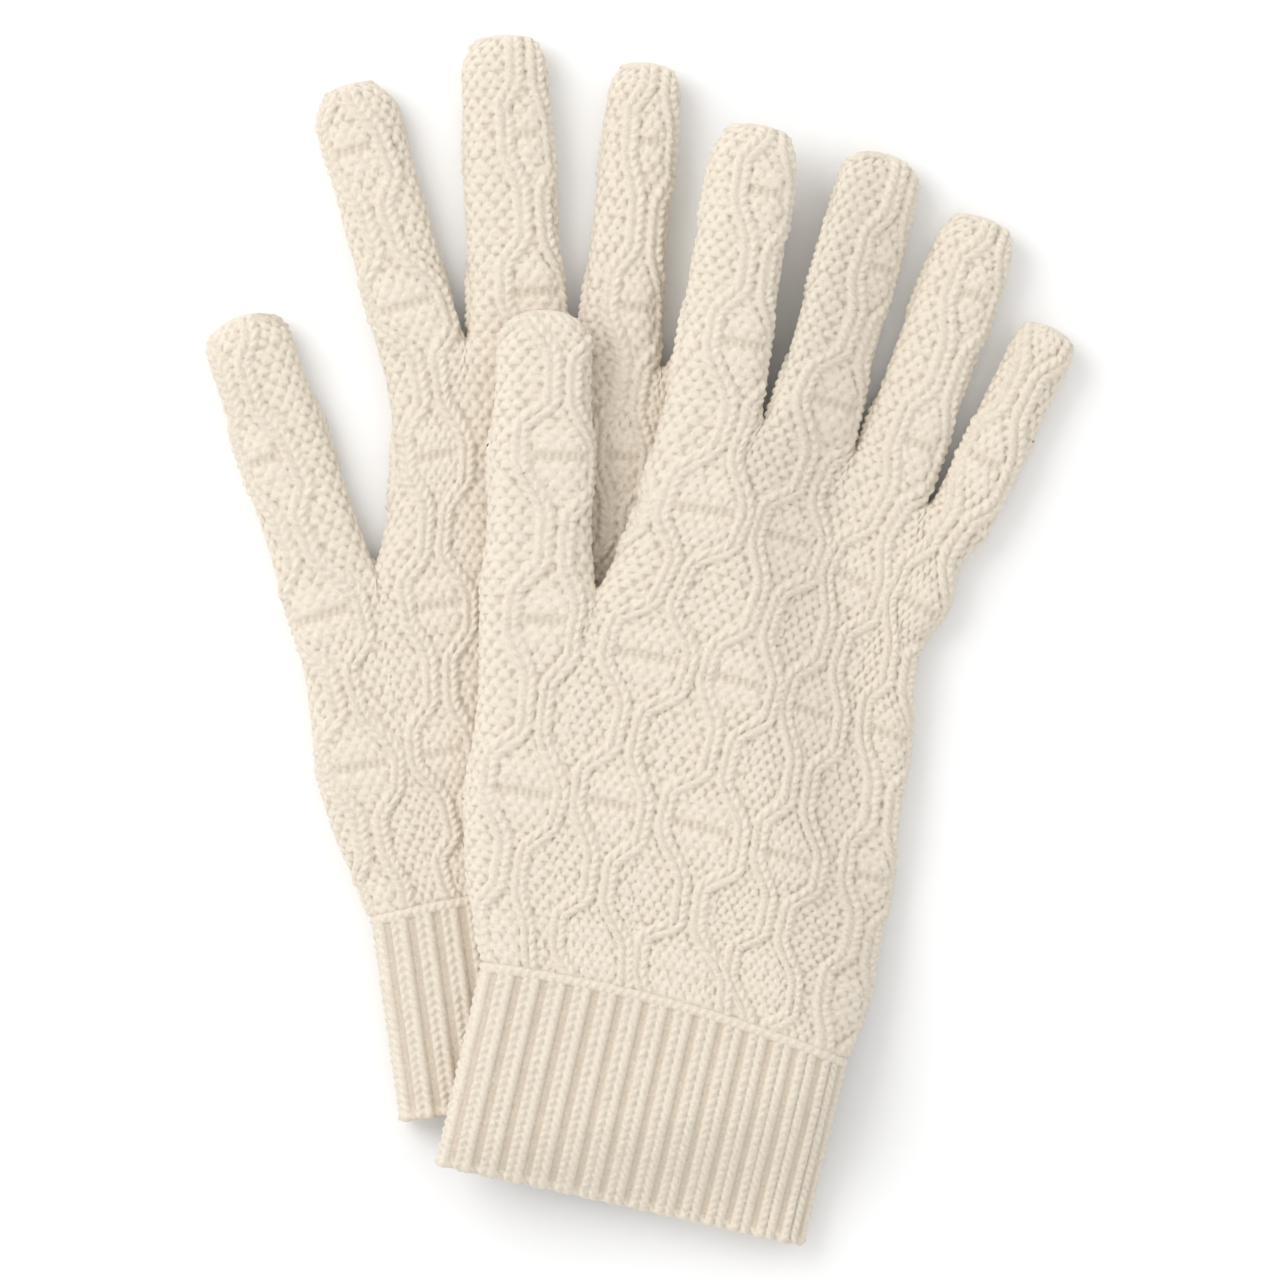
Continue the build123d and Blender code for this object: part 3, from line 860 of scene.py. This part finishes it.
def fibreGroup():  # fine hairs of the yarn, as a height
    group = bpy.data.node_groups.new("yarnFibres", "ShaderNodeTree")
    group.interface.new_socket(name="Scale", in_out="INPUT", socket_type="NodeSocketFloat")
    group.interface.new_socket(name="Height", in_out="OUTPUT", socket_type="NodeSocketFloat")
    start, end = group.nodes.new("NodeGroupInput"), group.nodes.new("NodeGroupOutput")
    place = group.nodes.new("ShaderNodeTexCoord")
    fine = group.nodes.new("ShaderNodeTexNoise")
    fine.inputs["Detail"].default_value = 4
    fine.inputs["Roughness"].default_value = 0.7
    fine.inputs["Distortion"].default_value = 1.2
    group.links.new(place.outputs["Object"], fine.inputs["Vector"])
    group.links.new(start.outputs["Scale"], fine.inputs["Scale"])
    group.links.new(fine.outputs["Fac"], end.inputs["Height"])
    return group


def woolMaterial(name, fibres, low, high):
    material = bpy.data.materials.new(name)
    material.use_nodes = True
    tree = material.node_tree
    shader = tree.nodes["Principled BSDF"]
    yarn = tree.nodes.new("ShaderNodeGroup")
    yarn.node_tree = fibres
    yarn.inputs["Scale"].default_value = wool["hairs"]
    # painted shade: the stitch height sets the colour, from the low colour in the hollows to the high colour on top,
    # plus a random mottle from the hair noise
    height = tree.nodes.new("ShaderNodeAttribute")
    height.attribute_name = "stitchHeight"
    depth = tree.nodes.new("ShaderNodeMapRange")
    depth.inputs["From Min"].default_value = wool["paintedShadeDepths"][0]
    depth.inputs["From Max"].default_value = wool["paintedShadeDepths"][1]
    tree.links.new(height.outputs["Fac"], depth.inputs["Value"])
    mottled = socketMath(tree, "MULTIPLY_ADD", yarn.outputs["Height"], wool["mottle"])
    mottled.node.inputs[2].default_value = wool["mottleOffset"]
    shade = socketMath(tree, "ADD", depth.outputs["Result"], mottled)
    mix = tree.nodes.new("ShaderNodeMix")
    mix.data_type = "RGBA"
    mix.inputs["A"].default_value = low
    mix.inputs["B"].default_value = high
    tree.links.new(shade, mix.inputs["Factor"])
    tree.links.new(mix.outputs["Result"], shader.inputs["Base Color"])
    bump = tree.nodes.new("ShaderNodeBump")
    bump.inputs["Strength"].default_value = wool["hairBump"]
    bump.inputs["Distance"].default_value = wool["hairDepth"]
    tree.links.new(yarn.outputs["Height"], bump.inputs["Height"])
    tree.links.new(bump.outputs["Normal"], shader.inputs["Normal"])
    shader.inputs["Roughness"].default_value = wool["roughness"]
    shader.inputs["Specular IOR Level"].default_value = 0.2
    shader.inputs["Sheen Weight"].default_value = 0.25
    shader.inputs["Sheen Roughness"].default_value = 0.6
    return material


fibres = fibreGroup()
finishes = {
    "cable_knit": woolMaterial("cableKnitWool", fibres, wool["low"], wool["high"]),
    "rib_knit": woolMaterial("ribKnitWool", fibres, wool["low"], wool["high"]),
}


def finish(piece, slot, nodes):
    piece.data.materials.append(finishes[slot])
    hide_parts(*nodes)


# Putting the gloves together

bodyOf = {node: body for body, nodes in frame["record"]["behaviour"]["bodies"].items() for node in nodes}


def joinFinger(piece, a, b):  # rides on one body; where a and b differ, the piece is only fixed where it lies
    if a == b:
        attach(piece, a)
        return
    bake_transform(piece)


def makeGlove(prefix):
    laid = layOut(prefix)
    hand = bodyOf[prefix + "_palm"]
    for side in (1, -1):
        sheet = handSheet(laid, side)
        nodes = [f"{prefix}_palm", f"{prefix}_finger_band", f"{prefix}_crotch_stitches"] if side > 0 else []
        finish(sheet, "cable_knit", nodes)
        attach(sheet, hand)
    print(prefix, "hand knitted", len(sheet.data.polygons))
    for name in fingerNames:
        finger = laid["fingers"][name]
        below, above = fingerRows(finger, sheets["spacing"])
        base = fingerPiece(laid, name, below, "Base")
        tip = fingerPiece(laid, name, above, "Tip")
        finish(base, "cable_knit", [f"{prefix}_{name}_base"])
        finish(tip, "cable_knit", [f"{prefix}_{name}_tip", f"{prefix}_{name}_closure"])
        baseBody, tipBody = bodyOf[f"{prefix}_{name}_base"], bodyOf[f"{prefix}_{name}_tip"]
        joinFinger(base, hand, baseBody)
        joinFinger(tip, baseBody, tipBody)
    print(prefix, "fingers knitted")
    tube = cuffPiece(laid)
    finish(tube, "rib_knit", [f"{prefix}_ribbed_cuff", f"{prefix}_cuff_edge", f"{prefix}_linking_seam"])
    cuffBody = bodyOf[prefix + "_ribbed_cuff"]
    if cuffBody == hand:
        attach(tube, hand)
    else:
        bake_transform(tube)
    print(prefix, "cuff knitted", len(tube.data.polygons))


for prefix in ("lower", "upper"):
    makeGlove(prefix)

# Table, light and camera

studio = {
    "floor": 0.95,
    "world": 0.9,
    "key": 20.0,
    "keyPlace": (-1.3, 0.9, 1.5),
    "keySize": 1.6,
    "cameraHeight": 1.9,
    "view": 0.3008,  # the width that the camera takes in at the table
    "sensor": 36.0,
}


def makeFloor():
    bpy.ops.mesh.primitive_plane_add(size=12, location=(0, 0, -0.0003))
    floor = bpy.context.object
    floor.name = "tableTop"
    material = bpy.data.materials.new("paleTable")
    material.use_nodes = True
    shader = material.node_tree.nodes["Principled BSDF"]
    shader.inputs["Base Color"].default_value = (studio["floor"],) * 3 + (1,)
    shader.inputs["Roughness"].default_value = 0.8
    shader.inputs["Specular IOR Level"].default_value = 0.1
    floor.data.materials.append(material)


def makeLight(name, location, size, power):
    light = bpy.data.lights.new(name, "AREA")
    light.shape = "DISK"
    light.size = size
    light.energy = power
    lamp = bpy.data.objects.new(name, light)
    lamp.location = location
    lamp.rotation_euler = (-Vector(location)).to_track_quat("-Z", "Y").to_euler()
    bpy.context.scene.collection.objects.link(lamp)


def makeCamera():
    low, high = cadBox
    camera = bpy.data.cameras.new("camera")
    camera.sensor_width = studio["sensor"]
    camera.lens = studio["sensor"] * studio["cameraHeight"] / studio["view"]
    camera.clip_end = 20
    holder = bpy.data.objects.new("camera", camera)
    holder.location = ((low[0] + high[0]) / 2, (low[1] + high[1]) / 2, studio["cameraHeight"])
    bpy.context.scene.collection.objects.link(holder)
    bpy.context.scene.camera = holder


makeFloor()
world = bpy.data.worlds.new("studio")
world.use_nodes = True
world.node_tree.nodes["Background"].inputs["Color"].default_value = (1, 1, 1, 1)
world.node_tree.nodes["Background"].inputs["Strength"].default_value = studio["world"]
bpy.context.scene.world = world
makeLight("windowLight", studio["keyPlace"], studio["keySize"], studio["key"])
makeCamera()
bpy.context.scene.view_settings.view_transform = "Standard"
print("table, light and camera set")
